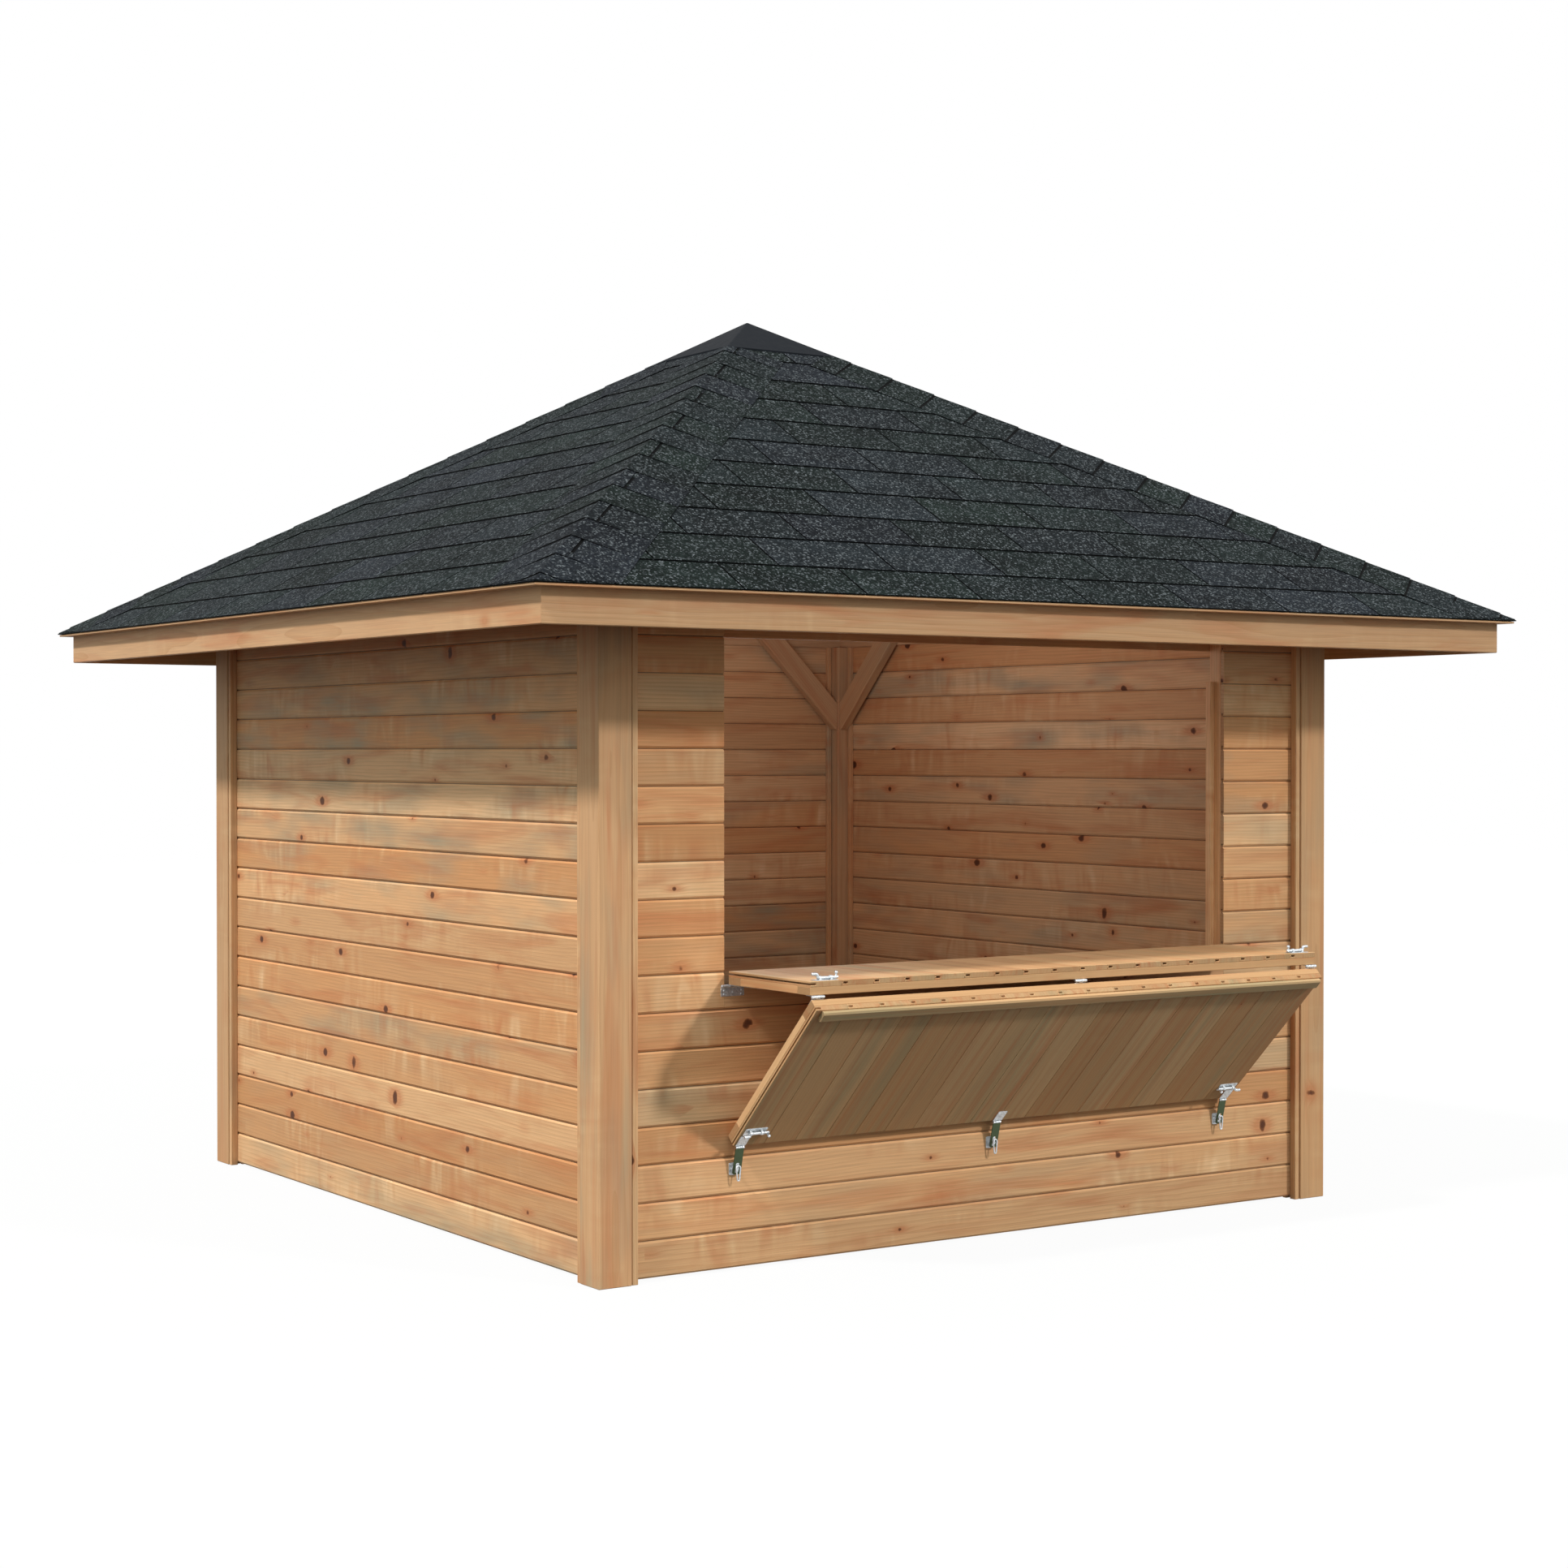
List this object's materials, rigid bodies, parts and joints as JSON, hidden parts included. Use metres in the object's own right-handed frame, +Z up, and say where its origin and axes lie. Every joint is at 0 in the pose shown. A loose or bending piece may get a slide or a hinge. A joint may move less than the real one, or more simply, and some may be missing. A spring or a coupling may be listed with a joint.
{
  "type": "timber garden kiosk",
  "caption": "Square timber garden kiosk with boarded walls, a shingled pyramid roof on corner posts, and a serving opening closed by a folding counter hatch.",
  "frame": {"origin": "middle of the plan at ground level, under the apex", "axes": "+Z up, -Y out of the front wall with the hatch, +X along that wall to the right of a person facing it"},
  "size_m": [4.098, 4.098, 3.335],
  "materials": {
    "post_timber": "planed softwood, warm brown stain",
    "board_timber": "planed tongue-and-groove softwood, warm brown stain, knots",
    "fascia_timber": "planed softwood, warm brown stain",
    "shingle": "bitumen felt with charcoal mineral granules, matte",
    "cap_sheet": "dark slate coating, satin",
    "zinc_steel": "bright zinc plate"
  },
  "bodies": {
    "kiosk": {"apex_block": "post_timber", "apex_cap": "cap_sheet", "back_beam": "post_timber", "back_fascia": "fascia_timber", "back_left_post": "post_timber", "back_right_post": "post_timber", "back_roof_deck": "board_timber", "back_shingles": "shingle", "back_wall": "board_timber", "drip_lath": "fascia_timber", "front_beam": "post_timber", "front_fascia": "fascia_timber", "front_left_panel": "board_timber", "front_left_post": "post_timber", "front_lower_wall": "board_timber", "front_right_panel": "board_timber", "front_right_post": "post_timber", "front_roof_deck": "board_timber", "front_shingles": "shingle", "hasp_staples": "zinc_steel", "hatch_stops": "board_timber", "head_board": "board_timber", "head_rail": "board_timber", "hip_caps": "shingle", "hip_rafters": "post_timber", "inner_battens": "board_timber", "jamb_studs": "post_timber", "knee_braces": "post_timber", "left_beam": "post_timber", "left_fascia": "fascia_timber", "left_roof_deck": "board_timber", "left_shingles": "shingle", "left_wall": "board_timber", "outer_battens": "board_timber", "rafters": "post_timber", "right_beam": "post_timber", "right_fascia": "fascia_timber", "right_roof_deck": "board_timber", "right_shingles": "shingle", "right_wall": "board_timber", "sill_board": "board_timber", "sill_rail": "board_timber", "wall_hinge_leaves": "zinc_steel"},
    "counter": {"counter_boards": "board_timber", "counter_bolts": "zinc_steel", "counter_frame": "board_timber", "counter_hinge_leaves": "zinc_steel"},
    "drop_leaf": {"drop_leaf_boards": "board_timber", "drop_leaf_bolts": "zinc_steel", "drop_leaf_edge_strip": "board_timber", "drop_leaf_frame": "board_timber", "drop_leaf_hinge_leaves": "zinc_steel", "hasps": "zinc_steel"}
  },
  "joints": [
    {"name": "counter_hinge", "type": "hinge", "parent": "kiosk", "child": "counter", "pos_m": [0, -1.533, 0.915], "axis": [-1, 0, 0], "range_deg": [0, 90]},
    {"name": "drop_leaf_hinge", "type": "hinge", "parent": "counter", "child": "drop_leaf", "pos_m": [0, -2.005, 0.915], "axis": [-1, 0, 0], "range_deg": [0, 135]}
  ]
}
